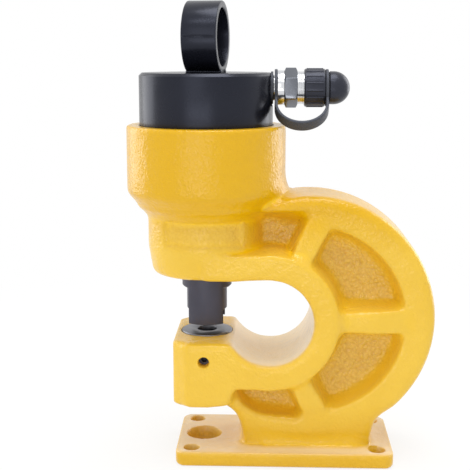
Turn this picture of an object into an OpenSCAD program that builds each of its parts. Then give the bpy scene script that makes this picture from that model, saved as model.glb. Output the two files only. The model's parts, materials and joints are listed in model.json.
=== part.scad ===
// Hydraulic hole punch: a cast C-frame on a base plate, with a single-acting
// cylinder in its head, a sprung ram that carries the punch, a stripper under
// the nose and a die in the lower jaw.
// Origin: middle of the base's bolt pattern, on the underside of the base.
// X runs from the jaw to the back rim, Y from front to back, Z up.

/* [Base plate] */
// Length of the base plate
base_l = 193; // [184:1:230]
// Depth of the base plate, front to back
base_w = 98; // [90:1:130]
// Thickness of the base plate
base_t = 13; // [10:0.5:18]
// Radius of the base plate's corners
base_corner_r = 9; // [3:0.5:14]
// Distance of the bolt holes from the ends of the base plate
bolt_edge_x = 14; // [11:0.5:18]
// Distance of the bolt holes from the sides of the base plate
bolt_edge_y = 13; // [11:0.5:18]
// Diameter of the base bolt holes
bolt_hole_d = 13.5; // [9:0.5:15]
// Diameter of the hole that slugs fall through
slug_hole_d = 31.5; // [27:0.5:34]
// How far the slug hole lies in front of the punch axis
slug_shift = 3; // [0:0.5:4]

/* [Cast frame] */
// Distance of the punch axis from the front end of the base plate
punch_inset = 26; // [22:0.5:32]
// Reach of the throat behind the punch axis
throat_depth = 95; // [90:1:104]
// Diameter of the round end of the throat
throat_d = 76; // [70:1:82]
// How much tighter the throat is at mid-thickness, on the radius
throat_draft = 1; // [0.5:0.1:2]
// How far the lower jaw's top lies below the throat's axis
jaw_drop = 18.5; // [14:0.5:22]
// Height of the lower jaw
jaw_h = 58; // [50:1:66]
// Reach of the lower jaw in front of the punch axis
jaw_reach = 27.8; // [26:0.2:32]
// Reach of the lower jaw behind the punch axis
jaw_back = 25.5; // [24:0.5:30]
// Chamfer on the lower jaw's front corners
jaw_chamfer = 13.3; // [6:0.1:18]
// Width of the ring of metal around the throat
hub_wall = 22; // [18:1:26]
// Outer radius of the back rim
rim_r = 109; // [106:1:113]
// Height of the rim above the base plate
rim_lift = 8.5; // [5:0.5:16]
// How far the rim's centre lies behind the throat's centre
rim_shift = 35; // [31:1:39]
// Width of the rim's face
rim_wall = 26; // [22:1:30]
// Thickness of the rim, front to back
rim_t = 74; // [66:1:84]
// Rounding of the rim's outer edges
rim_round = 8; // [4:0.5:12]
// Thickness of the web at the bottom of the pockets
web_t = 30; // [24:1:40]
// Width of a spoke at its face
spoke_w = 17; // [14:0.5:20]
// Angle of the upper and lower spokes from level
spoke_angle = 64; // [61:1:67]
// Lean of the cast walls from face to web
wall_lean = 5; // [3:0.5:7]
// Width of the rim above the small upper pocket
top_band = 12.5; // [10:0.5:16]
// Lean of the small upper pocket's top wall
pocket_lean = 9; // [5:0.5:11]
// Thickness of the foot where it meets the base
foot_t = 40; // [30:1:60]
// Height over which the foot widens to the rim
foot_rise = 30; // [20:1:40]
// Start of the foot behind the punch axis
foot_front = 35.5; // [30:0.5:42]
// Distance of the foot from the back end of the base plate
foot_inset = 21.5; // [16:0.5:30]

/* [Head] */
// Diameter of the cup that holds the cylinder
cup_d = 140; // [134:1:160]
// Rounding of the cup's lower edge
cup_round = 6; // [3:0.5:9]
// Height of the cone under the cup
cone_h = 22; // [16:1:30]
// Diameter of the nose, and thickness of the hub and jaw
nose_d = 104; // [98:1:112]
// Height of the nose below the cone
nose_h = 52; // [48:1:58]
// How far the nose hangs below the top of the throat
nose_drop = 2.5; // [1:0.5:4]
// Rounding of the nose's lower edge
nose_round = 8; // [4:0.5:10]
// Narrowing of the nose towards its lower edge, on the radius
nose_taper = 3; // [1:0.5:5]
// Height over which the nose narrows
nose_taper_h = 26; // [20:1:34]
// Depth of the cylinder's socket in the cup
socket_h = 70; // [64:1:74]
// Metal that the socket's lower edge leaves in the cone
socket_edge = 1.68; // [1.5:0.01:3]
// Width of the bare sunk panel on the nose
panel_w = 66; // [40:1:76]
// Height of the bare sunk panel
panel_h = 21; // [14:1:24]
// Depth of the bare sunk panel
panel_depth = 0.8; // [0.4:0.1:1.5]

/* [Cylinder] */
// Wall of the cup around the cylinder barrel
cup_wall = 11.5; // [9:0.5:15]
// Height of the barrel above the cup
barrel_proud = 45; // [42:1:56]
// Bore of the barrel, as a share of its outer diameter
bore_share = 0.641; // [0.6:0.001:0.72]
// Thickness of the barrel's end wall
barrel_end = 21; // [19:0.5:25]
// Chamfer on the barrel's top edge
barrel_chamfer = 2.5; // [1:0.5:4]
// Outer diameter of the lifting ring
ring_od = 62; // [54:1:80]
// Wall of the lifting ring
ring_wall = 6; // [4:0.5:8]
// Width of the lifting ring's band
ring_w = 30.5; // [20:0.5:40]
// Turn of the lifting ring towards the front, about the barrel's axis
ring_yaw = 8.5; // [0:0.5:12]
// Width of the flat on which the lifting ring stands
ring_flat = 14; // [8:1:18]
// Height of the weld beads
weld_h = 5; // [3:0.5:7]

/* [Ram] */
// Working stroke of the ram
stroke = 14; // [10:0.5:15]
// Diameter of the ram
ram_d = 36; // [32:0.5:37]
// Height of the piston
piston_h = 26; // [24:0.5:30]
// Oil space above the piston at rest
oil_gap = 2; // [1:0.5:4]
// Depth of the ram's spigot in the piston
spigot_h = 5; // [3:0.5:7]
// Wire of the return spring
spring_wire = 7; // [5:0.5:7.5]
// Number of turns of the return spring
spring_turns = 5.5; // [4:0.5:6]
// Height of the spring seat washer
spring_seat_h = 3; // [2:0.5:4]
// Outer diameter of the guide bush
bush_od = 46; // [42:0.5:52]
// Lip of the nose between stripper and ram wiper
wiper_lip = 4; // [3:0.5:6]
// Height of the ram wiper
wiper_h = 6; // [4:0.5:7]

/* [Tooling] */
// Diameter of the punch
punch_d = 17; // [11:0.5:18]
// Reach of the punch below its nut
punch_reach = 9; // [6:0.5:10]
// Diameter of the punch's head
punch_head_d = 25; // [22:0.5:27]
// Height of the punch's head
punch_head_h = 5; // [4:0.5:7]
// Length of the punch nut
nut_l = 22; // [18:0.5:26]
// Thickness of the nut's lip under the punch's head
nut_lip = 4; // [3:0.5:5]
// Diameter of the ram's threaded end
stub_d = 28; // [27:0.5:30]
// Outer diameter of the stripper sleeve
strip_od = 44.4; // [43:0.2:48]
// Wall of the stripper sleeve
strip_wall = 3; // [2:0.1:3]
// Space for the work between jaw and stripper
work_gap = 9.7; // [8:0.1:12]
// Length of the closed part of the stripper below the nose
strip_skirt = 12.6; // [9:0.1:16]
// Length of the stripper inside the nose
strip_seat = 16; // [12:0.5:18]
// Width of the window through the stripper
strip_slot = 31.8; // [28:0.2:34]
// Outer diameter of the die
die_od = 46; // [38:1:48]
// Height of the die
die_h = 25; // [20:0.5:30]
// How far the die stands above the jaw
die_proud = 1; // [0.5:0.1:2]
// Gap between punch and die, on the radius
die_clear = 0.4; // [0.35:0.05:0.8]
// Diameter of the slug bore under the die
slug_bore_d = 26; // [22:0.5:30]
// Diameter of the die set screw
set_screw_d = 9.5; // [6:0.5:11]
// Length of the die set screw
set_screw_l = 18; // [12:1:22]
// Depth of the die set screw's axis below the jaw's top
set_screw_drop = 16; // [12:0.5:18]

/* [Coupler] */
// Height of the coupler's axis above the cup
coupler_rise = 32; // [29:0.5:36]
// Depth of the flat for the coupler on the barrel's side
spot_depth = 2; // [1.5:0.1:3]
// Thickness of the coupler's seal washer
seal_t = 2.2; // [1.5:0.1:3]
// Length of the coupler's neck behind the flange
neck_l = 3.9; // [3.5:0.1:6]
// Diameter of the coupler's flange
flange_d = 30; // [28:0.5:32]
// Length of the coupler's flange
flange_l = 5.6; // [4:0.1:7]
// Width across the coupler's hex flats
hex_width = 30; // [29:0.5:33]
// Length of the coupler's hex
hex_l = 11.5; // [9:0.5:14]
// Diameter of the coupler's thread
thread_d = 28; // [26:0.2:29]
// Length of the coupler's thread
thread_l = 14.8; // [13:0.2:18]
// Diameter of the coupler's nipple
nipple_d = 21; // [18.5:0.5:23]
// Length of the coupler's nipple
nipple_l = 7; // [6:0.5:8]
// Travel of the poppet
poppet_travel = 3; // [2:0.5:3.5]
// Outer diameter of the dust cap's collar
cap_d = 32.8; // [32:0.2:36]
// Length of the dust cap's collar
cap_l = 18.2; // [17.5:0.1:21]
// Bare thread between the hex and the dust cap
cap_gap = 5.7; // [4:0.1:7]
// Diameter of the dust cap's domed nose
dome_d = 28.5; // [27:0.5:31]
// Length of the dust cap's nose in front of its groove
dome_l = 18.3; // [16:0.1:22]
// Number of ribs around the dust cap
rib_n = 16; // [8:1:24]
// Outer diameter of the tether's rings
tether_d = 32; // [31:0.5:35]
// Thickness of the tether
tether_t = 2.6; // [2:0.1:3]
// Width of the tether's strap
tether_w = 11; // [8:0.5:13]
// Straight drop of the strap below the rings
tether_drop = 6.5; // [4:0.5:12]
// Swing of the strap towards the front
tether_swing = 45; // [40:1:60]

/* [Hidden] */

$fn = 96;
fine = 480;

// Clearances and overrun
over = 1;
seat_gap = 0.03;
run_gap = 0.05;
loose_gap = 0.3;
// Small steps where cast faces run into each other
blend_set = 0.5;

// Base plate
base_half = base_w / 2;
bolt_span_x = base_l - 2 * bolt_edge_x;
bolt_span_y = base_w - 2 * bolt_edge_y;

// Radii
throat_r = throat_d / 2;
hub_r = throat_r + hub_wall;
nose_r = nose_d / 2;
cup_r = cup_d / 2;
barrel_r = cup_r - cup_wall;
bore_r = barrel_r * bore_share;
ram_r = ram_d / 2;
ring_r = ring_od / 2;
hub_half = nose_r - blend_set;
rim_half = rim_t / 2;
web_half = web_t / 2;

// Places along X
punch_x = punch_inset - base_l / 2;
throat_x = punch_x + throat_depth - throat_r;
rim_x = throat_x + rim_shift;
jaw_front_x = punch_x - jaw_reach;
jaw_back_x = punch_x + jaw_back;

// Places along Z
throat_z = base_t + rim_lift + rim_r;
jaw_top = throat_z - jaw_drop;
jaw_bottom = jaw_top - jaw_h;
throat_top = throat_z + throat_r;
nose_z = throat_top - nose_drop;
cone_z = nose_z + nose_h;
cup_z = cone_z + cone_h;
socket_drop = cone_h * min(1, (cup_wall - socket_edge) / (cup_r - nose_r));
cup_h = socket_h - socket_drop;
cup_top = cup_z + cup_h;
socket_z = cup_top - socket_h;
barrel_top = cup_top + barrel_proud;
chamber_top = barrel_top - barrel_end;
piston_top = chamber_top - oil_gap;
piston_z = piston_top - piston_h;

// Side of a box that is larger than the casting
zone = 3 * (base_l + rim_r);

// Cast rim and pockets
rim_in = rim_r - rim_wall;
rim_mid = rim_r - rim_wall / 2;
spoke_run = 3;
foot_r = rim_r - rim_round;
foot_front_angle = 228.5;
foot_back_angle = 308.5;
// Outline of the lower front pocket around the throat's axis, as shares of the rim's radius
pocket_shares = [
  [-0.289, -0.463], [-0.289, -0.564], [-0.194, -0.740], [-0.073, -0.782],
  [0.326, -0.818], [0.326, -0.647], [0.124, -0.463]
];

// Cup's lower edge
cone_angle = atan2(cone_h, cup_r - nose_r);
cup_turn_z = cup_z + cup_round * (1 - sin(cone_angle)) / cos(cone_angle);
panel_z = cone_z - panel_h;

// Barrel details
barrel_seal_d = 3;
barrel_seal_drop = 8;
barrel_seal_z = cup_top - barrel_seal_drop;
port_d = 7;

// Stripper and ram end
strip_r = strip_od / 2;
strip_in = strip_r - strip_wall;
strip_bottom = jaw_top + work_gap;
strip_bevel = 1.5;
tip_lift = 1.3;
punch_tip = strip_bottom + tip_lift;
nut_z = punch_tip + punch_reach;
nut_top = nut_z + nut_l;
punch_head_z = nut_z + nut_lip;
punch_head_top = punch_head_z + punch_head_h;
stub_bevel = 1.5;
bush_r = bush_od / 2;
wiper_z = nose_z + strip_seat + wiper_lip;
bush_z = wiper_z + wiper_h;
bush_l = socket_z - bush_z;
ram_top = piston_z + spigot_h;

// Piston details
seal_h = 6;
seal_depth = 4.5;
backup_h = 1.6;
wear_h = 5;
wear_depth = 2.4;
wear_z = piston_z + wear_h / 2 + loose_gap;
seal_z = wear_z + wear_h + backup_h + wear_h / 2;
screw_d = 16;
screw_head_d = 24;
screw_head_h = 10;
screw_l = 34;
screw_key = 14;
screw_key_h = 6;
screw_z = piston_top - screw_head_h - oil_gap;

// Return spring
spring_mid_r = (bore_r + ram_r) / 2;
spring_from = socket_z + spring_seat_h + loose_gap;
spring_to = piston_z - loose_gap;
curl_rings = 8;
curl_sides = 6;

// Die and set screw
die_r = die_od / 2;
die_hole_r = punch_d / 2 + die_clear;
die_land = 6;
die_relief = 1.5;
die_bevel = 1;
die_z = jaw_top + die_proud - die_h;
set_screw_z = jaw_top - set_screw_drop;
set_key = 5;
set_key_h = 6;

// Coupler, from the barrel outwards along X
coupler_z = cup_top + coupler_rise;
spot_r = 17;
spot_x = punch_x + barrel_r - spot_depth;
neck_x = spot_x + seal_t;
flange_x = neck_x + neck_l;
hex_x = flange_x + flange_l;
thread_x = hex_x + hex_l;
nipple_x = thread_x + thread_l;
tip_x = nipple_x + nipple_l;
stub_r = 9;
stub_l = 15;
neck_r = 11;
seal_r = 14;
coupler_bevel = 1.2;
hex_bevel = 2;

// Valve inside the coupler
inlet_r = 4;
cavity_r = 7;
seat_r = 4.5;
seat_wall = 4;
cavity_end = tip_x - seat_wall;
carrier_l = 3;
carrier_x = hex_x + carrier_l;
carrier_hole_r = 1.1;
carrier_ring_r = 4.8;
carrier_holes = 4;
poppet_head_l = 4;
poppet_head_r = 6.4;
poppet_stem_r = 2.5;
poppet_head_x = cavity_end - poppet_head_l - loose_gap;
poppet_wire = 1.2;
poppet_turns = 6;
poppet_spring_r = (poppet_stem_r + cavity_r) / 2;

// Dust cap and tether
cap_x = thread_x + cap_gap;
cap_end = cap_x + cap_l;
cap_r = cap_d / 2;
cap_bore_r = thread_d / 2 + loose_gap;
cap_floor = 1.2;
groove_r = 12;
groove_l = tether_t + 2 * loose_gap;
dome_x = cap_end + groove_l;
dome_r = dome_d / 2;
dome_bevel = 1;
dome_mid = dome_x + dome_l - dome_r;
cap_bevel = 1;
rib_r = 0.9;
rib_sink = 0.3;
rib_inset = 2;
rib_turn_share = 0.3;
anchor_x = flange_x - tether_t - loose_gap / 2;
cap_ring_x = cap_end + loose_gap;
tether_r = tether_d / 2;
bow_out_r = (cap_ring_x + tether_t - anchor_x) / 2;
bow_in_r = bow_out_r - tether_t;
strap_start = sqrt(pow(tether_r, 2) - pow(tether_w / 2, 2));

// Turns a profile of radius and height about an upright axis at x
module turned_z(x) {
  translate([x, 0, 0])
    rotate_extrude()
      children();
}

// Turns a profile of radius and width about an axis from front to back
module turned_y(x, z) {
  translate([x, 0, z])
    rotate([90, 0, 0])
      rotate_extrude()
        children();
}

// Turns a profile of radius and length about the coupler's axis, from X = 0
module turned_x() {
  translate([0, 0, coupler_z])
    rotate([0, 90, 0])
      rotate_extrude()
        children();
}

// A rod along X on the coupler's axis
module rod_x(x, l, r, sides = $fn) {
  translate([x, 0, coupler_z])
    rotate([0, 90, 0])
      cylinder(h = l, r = r, $fn = sides);
}

// A flat ring profile from r_in to r_out, between z and z + h
module band(r_in, r_out, z, h) {
  translate([r_in, z])
    square([r_out - r_in, h]);
}

// A coil spring as one tube of six sides, standing on Z = 0
module coil(mid_r, wire, length, turns) {
  rings = round(turns * curl_rings);
  rise = (length - wire) / rings;
  slope = atan2(rise * curl_rings, 2 * PI * mid_r);
  points = [
    for (i = [0 : rings], s = [0 : curl_sides - 1])
      let (a = i * 360 / curl_rings,
           b = s * 360 / curl_sides,
           out = mid_r + wire / 2 * cos(b),
           side = -wire / 2 * sin(b) * sin(slope),
           up = wire / 2 * sin(b) * cos(slope))
      [out * cos(a) - side * sin(a), out * sin(a) + side * cos(a), wire / 2 + i * rise + up]
  ];
  walls = [
    for (i = [0 : rings - 1], s = [0 : curl_sides - 1])
      let (n = (s + 1) % curl_sides, lo = i * curl_sides, hi = lo + curl_sides)
      each [[lo + s, hi + s, lo + n], [hi + s, hi + n, lo + n]]
  ];
  last = rings * curl_sides;
  ends = [
    for (s = [1 : curl_sides - 2])
      each [[0, s, s + 1], [last, last + s + 1, last + s]]
  ];
  mids = [for (i = [0 : rings])
    let (a = i * 360 / curl_rings)
    [mid_r * cos(a), mid_r * sin(a), i * rise]];
  gaps = [
    for (i = [0 : rings], j = [i + curl_rings / 2 : rings])
      norm(mids[i] - mids[j]) - wire
  ];
  echo(least_gap = min(gaps));
  polyhedron(points, concat(walls, ends));
}

// Frame: outline of the turned head
module head_profile() {
  nose_low_r = nose_r - nose_taper;
  polygon([
    [0, nose_z],
    [nose_low_r - nose_round, nose_z],
    [nose_low_r, nose_z + nose_round],
    [nose_r, nose_z + nose_taper_h],
    [nose_r, cone_z],
    [cup_r - cup_round * (1 - sin(cone_angle)), cup_turn_z - cup_round * cos(cone_angle)],
    [cup_r, cup_turn_z],
    [cup_r, cup_top],
    [0, cup_top]
  ]);
  translate([nose_low_r - nose_round, nose_z + nose_round])
    circle(nose_round);
  translate([cup_r - cup_round, cup_turn_z])
    circle(cup_round);
}

// Frame: section of the rim, with leaning inner walls and rounded outer edges
module rim_profile() {
  polygon([
    [rim_in, -rim_half],
    [rim_in - wall_lean, -web_half],
    [rim_in - wall_lean, web_half],
    [rim_in, rim_half],
    [rim_r - rim_round, rim_half],
    [rim_r - rim_round, -rim_half]
  ]);
  band(rim_in, rim_r, rim_round - rim_half, rim_t - 2 * rim_round);
  for (side = [-1, 1])
    translate([rim_r - rim_round, side * (rim_half - rim_round)])
      circle(rim_round);
}

// Frame: half section of the hub and of the upper arm, from the throat's axis out
module hub_profile(r) {
  polygon([
    [0, -hub_half],
    [r, -hub_half],
    [r + wall_lean, -web_half],
    [r + wall_lean, web_half],
    [r, hub_half],
    [0, hub_half]
  ]);
}

// Frame: a spoke whose face slopes from the hub's face into the rim
module spoke(angle) {
  inner_half = hub_half - blend_set;
  meets_at = rim_at(angle);
  end = meets_at + rim_wall / 2;
  end_half = rim_half - (inner_half - rim_half) * (end - meets_at) / (meets_at - hub_r);
  translate([throat_x, 0, throat_z])
    rotate([0, -angle, 0])
      intersection() {
        linear_extrude(nose_d, center = true)
          polygon([
            [throat_r, -inner_half],
            [hub_r, -inner_half],
            [end, -end_half],
            [end, end_half],
            [hub_r, inner_half],
            [throat_r, inner_half]
          ]);
        rotate([90, 0, 90])
          linear_extrude(end)
            polygon([
              [-hub_half, -spoke_w / 2],
              [-web_half, -spoke_w / 2 - wall_lean],
              [web_half, -spoke_w / 2 - wall_lean],
              [hub_half, -spoke_w / 2],
              [hub_half, spoke_w / 2],
              [web_half, spoke_w / 2 + wall_lean],
              [-web_half, spoke_w / 2 + wall_lean],
              [-hub_half, spoke_w / 2]
            ]);
      }
}

// Distance from the throat's axis to just inside the rim's face, at an angle
function rim_at(angle) =
  rim_shift * cos(angle) + sqrt(pow(rim_in, 2) - pow(rim_shift * sin(angle), 2)) + spoke_run;

// Frame: the two pockets that cut into the rim, on one side
module rim_pockets() {
  pocket_top = throat_z + rim_r - top_band;
  translate([punch_x, 0, 0])
    rotate([90, 0, 90])
      linear_extrude(throat_depth - spoke_run)
        polygon([
          [web_half, throat_z],
          [web_half, pocket_top - pocket_lean],
          [rim_half + over, pocket_top],
          [rim_half + over, throat_z]
        ]);
  translate([throat_x, rim_half + over, throat_z])
    rotate([90, 0, 0])
      linear_extrude(rim_half + over - web_half)
        polygon(rim_r * pocket_shares);
}

// Frame: web and rim with all pockets open
module wheel() {
  difference() {
    union() {
      turned_y(rim_x, throat_z)
        rim_profile();
      turned_y(rim_x, throat_z)
        band(0, rim_mid, -web_half, web_t);
    }
    rim_pockets();
    mirror([0, 1, 0])
      rim_pockets();
  }
}

// Frame: lower jaw with chamfered front corners
module jaw() {
  translate([0, 0, jaw_bottom])
    linear_extrude(jaw_h)
      polygon([
        [jaw_front_x, jaw_chamfer - hub_half],
        [jaw_front_x + jaw_chamfer, -hub_half],
        [jaw_back_x, -hub_half],
        [jaw_back_x, hub_half],
        [jaw_front_x + jaw_chamfer, hub_half],
        [jaw_front_x, hub_half - jaw_chamfer]
      ]);
}

// Frame: foot between rim and base, narrower at the base
module foot() {
  foot_from = punch_x + foot_front;
  foot_to = base_l / 2 - foot_inset;
  foot_top = base_t + foot_rise;
  foot_half = rim_half - blend_set;
  difference() {
    intersection() {
      translate([0, hub_half, 0])
        rotate([90, 0, 0])
          linear_extrude(nose_d)
            polygon([
              [rim_x + foot_r * cos(foot_front_angle), throat_z + foot_r * sin(foot_front_angle)],
              [foot_from, base_t],
              [foot_to, base_t],
              [rim_x + foot_r * cos(foot_back_angle), throat_z + foot_r * sin(foot_back_angle)]
            ]);
      translate([rim_x - rim_r, 0, 0])
        rotate([90, 0, 90])
          linear_extrude(2 * rim_r)
            polygon([
              [-foot_t / 2, 0],
              [-foot_t / 2, base_t],
              [-foot_half, foot_top],
              [-foot_half, throat_z],
              [foot_half, throat_z],
              [foot_half, foot_top],
              [foot_t / 2, base_t],
              [foot_t / 2, 0]
            ]);
    }
    turned_y(rim_x, throat_z)
      band(0, rim_mid, -hub_half - over, nose_d + 2 * over);
  }
}

// Frame: room of the throat and its mouth
module throat_room() {
  flare = throat_draft * over / hub_half;
  mouth_top = throat_top - throat_draft - blend_set;
  turned_y(throat_x, throat_z)
    polygon([
      [0, -hub_half - over],
      [throat_r + flare, -hub_half - over],
      [throat_r - throat_draft, 0],
      [throat_r + flare, hub_half + over],
      [0, hub_half + over]
    ]);
  translate([throat_x - throat_depth - cup_r, -hub_half - over, jaw_top])
    cube([throat_depth + cup_r, nose_d + 2 * over, mouth_top - jaw_top]);
}

// Frame: rim, web, spokes, hub and upper arm around the throat
module c_shape() {
  wheel();
  turned_y(throat_x, throat_z)
    hub_profile(hub_r);
  translate([punch_x, 0, throat_z])
    rotate([90, 0, 90])
      linear_extrude(throat_x - punch_x)
        rotate(90)
          mirror([0, 1])
            hub_profile(hub_r - blend_set);
  for (angle = [-spoke_angle, 0, spoke_angle])
    spoke(angle);
}

// Frame: base plate with rounded corners
module base_plate() {
  linear_extrude(base_t) {
    square([base_l, base_w - 2 * base_corner_r], center = true);
    square([base_l - 2 * base_corner_r, base_w], center = true);
    for (sx = [-1, 1], sy = [-1, 1])
      translate([sx * (base_l / 2 - base_corner_r), sy * (base_half - base_corner_r)])
        circle(base_corner_r);
  }
}

// Frame: bores of the head, on the punch axis
module head_bores() {
  turned_z(punch_x) {
    band(0, barrel_r + seat_gap, socket_z, socket_h + over);
    band(0, bush_r + seat_gap, wiper_z, bush_l + wiper_h + over);
    band(0, ram_r + loose_gap, nose_z, nose_h);
    band(0, strip_r + seat_gap, nose_z - over, strip_seat + over + seat_gap);
  }
}

// Frame: die seat, slug bore and set screw hole
module jaw_bores() {
  turned_z(punch_x) {
    band(0, die_r + seat_gap, die_z, die_h + over);
    band(0, slug_bore_d / 2, jaw_bottom - over, jaw_h);
  }
  translate([punch_x, 0, set_screw_z])
    rotate([90, 0, 0])
      cylinder(h = hub_half + over, d = set_screw_d + 2 * seat_gap);
}

// Frame: shallow sunk panel on the front of the nose
module nose_panel() {
  intersection() {
    turned_z(punch_x)
      band(nose_r - panel_depth, nose_r + over, panel_z, panel_h);
    translate([punch_x - panel_w / 2, -nose_d, panel_z])
      cube([panel_w, nose_d, panel_h]);
  }
}

// Frame: all of the casting but its lower jaw and its base plate
module casting() {
  difference() {
    union() {
      c_shape();
      turned_z(punch_x)
        head_profile();
      foot();
    }
    throat_room();
    head_bores();
    nose_panel();
    translate([jaw_back_x - zone, -zone / 2, jaw_bottom])
      cube([zone, zone, throat_z - jaw_bottom]);
  }
}

// Frame: space of the upper arm and the head
module head_zone() {
  translate([punch_x + cup_r + over - zone, -zone / 2, throat_z])
    cube([zone, zone, zone]);
}

// The one-piece casting is four solids that meet on flat planes: first its C
module frame() {
  color("goldenrod")
    difference() {
      casting();
      head_zone();
    }
}

module frame_head() {
  color("goldenrod")
    intersection() {
      casting();
      head_zone();
    }
}

module frame_jaw() {
  color("goldenrod")
    difference() {
      jaw();
      throat_room();
      jaw_bores();
    }
}

module frame_base() {
  color("goldenrod")
    difference() {
      base_plate();
      translate([punch_x - slug_shift, 0, -over])
        cylinder(h = base_t + 2 * over, d = slug_hole_d);
      for (sx = [-1, 1], sy = [-1, 1])
        translate([sx * bolt_span_x / 2, sy * bolt_span_y / 2, -over])
          cylinder(h = base_t + 2 * over, d = bolt_hole_d);
    }
}

module cylinder_barrel() {
  groove_h = barrel_seal_d + loose_gap;
  color("dimgray")
    difference() {
      turned_z(punch_x)
        polygon([
          [bore_r, socket_z],
          [barrel_r, socket_z],
          [barrel_r, barrel_top - barrel_chamfer],
          [barrel_r - barrel_chamfer, barrel_top],
          [0, barrel_top],
          [0, chamber_top],
          [bore_r, chamber_top]
        ]);
      turned_z(punch_x)
        band(barrel_r - barrel_seal_d, barrel_r + over, barrel_seal_z - groove_h / 2, groove_h);
      rod_x(spot_x, spot_depth + over, spot_r);
      rod_x(spot_x - stub_l, stub_l + over, stub_r + seat_gap);
      rod_x(punch_x + bore_r / 2, barrel_r - bore_r / 2, port_d / 2);
      translate([punch_x + bore_r / 2, 0, chamber_top - over])
        cylinder(h = coupler_z - chamber_top + over, d = port_d);
    }
}

module barrel_seal() {
  color("black")
    turned_z(punch_x)
      translate([barrel_r - barrel_seal_d / 2, barrel_seal_z])
        circle(barrel_seal_d / 2 - seat_gap);
}

// Middle of the lifting ring, sunk so that it stands on its flat
ring_z = barrel_top + sqrt(pow(ring_r, 2) - pow(ring_flat / 2, 2));

// Places children with their Z axis along the lifting ring's axis
module ring_place() {
  translate([punch_x, 0, ring_z])
    rotate([0, 90, -ring_yaw])
      children();
}

module above_barrel() {
  translate([punch_x - ring_od, -ring_od, barrel_top])
    cube([2 * ring_od, 2 * ring_od, 2 * ring_od]);
}

module lifting_ring() {
  color("dimgray")
    intersection() {
      ring_place()
        translate([0, 0, -ring_w / 2])
          linear_extrude(ring_w)
            difference() {
              circle(ring_r);
              circle(ring_r - ring_wall);
            }
      above_barrel();
    }
}

module ring_weld() {
  color("dimgray")
    intersection() {
      difference() {
        ring_place()
          for (side = [-1, 1])
            translate([ring_z - barrel_top, side * ring_flat / 2, -ring_w / 2])
              cylinder(h = ring_w, r = weld_h, $fn = fine);
        ring_place()
          cylinder(h = 2 * ring_w, r = ring_r, center = true, $fn = fine);
      }
      above_barrel();
    }
}

module guide_bush() {
  color("darkkhaki")
    turned_z(punch_x)
      band(ram_r + run_gap, bush_r, bush_z, bush_l);
}

module ram_wiper() {
  color("black")
    turned_z(punch_x)
      band(ram_r + run_gap, bush_r, wiper_z, wiper_h);
}

module spring_seat() {
  color("silver")
    turned_z(punch_x)
      band(ram_r + loose_gap, bore_r - loose_gap, socket_z, spring_seat_h);
}

module return_spring() {
  color("gray")
    translate([punch_x, 0, spring_from])
      coil(spring_mid_r, spring_wire, spring_to - spring_from, spring_turns);
}

module piston() {
  color("silver")
    difference() {
      turned_z(punch_x)
        band(0, bore_r - run_gap, piston_z, piston_h);
      turned_z(punch_x) {
        band(bore_r - wear_depth, bore_r + over, wear_z, wear_h);
        band(bore_r - seal_depth, bore_r + over, seal_z - backup_h, backup_h + seal_h);
        band(0, ram_r + seat_gap, piston_z - over, spigot_h + over);
        band(0, screw_d / 2 + seat_gap, piston_z, piston_h);
        band(0, screw_head_d / 2 + loose_gap, screw_z, piston_h);
      }
    }
}

// A ring in a groove of the piston
module piston_ring(depth, z, h) {
  turned_z(punch_x)
    band(bore_r - depth + seat_gap, bore_r - run_gap, z, h);
}

module piston_seal() {
  color("black")
    piston_ring(seal_depth, seal_z, seal_h);
}

module piston_backup_ring() {
  color("ivory")
    piston_ring(seal_depth, seal_z - backup_h, backup_h);
}

module piston_wear_ring() {
  color("darkkhaki")
    piston_ring(wear_depth, wear_z, wear_h);
}

module piston_screw() {
  color("dimgray")
    difference() {
      turned_z(punch_x) {
        band(0, screw_d / 2, screw_z - screw_l, screw_l);
        band(0, screw_head_d / 2, screw_z, screw_head_h);
      }
      translate([punch_x, 0, screw_z + screw_head_h - screw_key_h])
        cylinder(h = screw_key_h + over, d = screw_key / cos(30), $fn = 6);
    }
}

module ram() {
  color("silver")
    turned_z(punch_x)
      difference() {
        polygon([
          [0, punch_head_top],
          [stub_d / 2 - stub_bevel, punch_head_top],
          [stub_d / 2, punch_head_top + stub_bevel],
          [stub_d / 2, nut_top],
          [ram_r, nut_top],
          [ram_r, ram_top],
          [0, ram_top]
        ]);
        band(0, screw_d / 2 + seat_gap, screw_z - screw_l, screw_l);
      }
}

module punch_nut() {
  color("dimgray")
    turned_z(punch_x)
      difference() {
        polygon([
          [punch_d / 2 + seat_gap, nut_z],
          [ram_r - stub_bevel, nut_z],
          [ram_r, nut_z + stub_bevel],
          [ram_r, nut_top],
          [punch_d / 2 + seat_gap, nut_top]
        ]);
        band(0, stub_d / 2 + seat_gap, punch_head_z, nut_l);
      }
}

module punch() {
  color("gray")
    turned_z(punch_x) {
      band(0, punch_d / 2, punch_tip, punch_head_z - punch_tip);
      band(0, punch_head_d / 2, punch_head_z, punch_head_h);
    }
}

module stripper() {
  window_top = nose_z - strip_skirt;
  color("dimgray")
    difference() {
      turned_z(punch_x)
        band(strip_in, strip_r, strip_bottom, nose_z + strip_seat - strip_bottom);
      translate([punch_x - strip_od, -strip_slot / 2, strip_bottom - over])
        cube([2 * strip_od, strip_slot, window_top - strip_bottom + over]);
      intersection() {
        turned_z(punch_x)
          polygon([
            [strip_r - strip_bevel, window_top],
            [strip_r, window_top + strip_bevel],
            [strip_r + over, window_top]
          ]);
        translate([punch_x - strip_od, -strip_slot / 2, window_top])
          cube([2 * strip_od, strip_slot, strip_bevel]);
      }
    }
}

module die() {
  color("gray")
    turned_z(punch_x)
      polygon([
        [die_hole_r, jaw_top + die_proud],
        [die_r - die_bevel, jaw_top + die_proud],
        [die_r, jaw_top + die_proud - die_bevel],
        [die_r, die_z],
        [die_hole_r + die_relief, die_z],
        [die_hole_r, jaw_top - die_land]
      ]);
}

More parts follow.
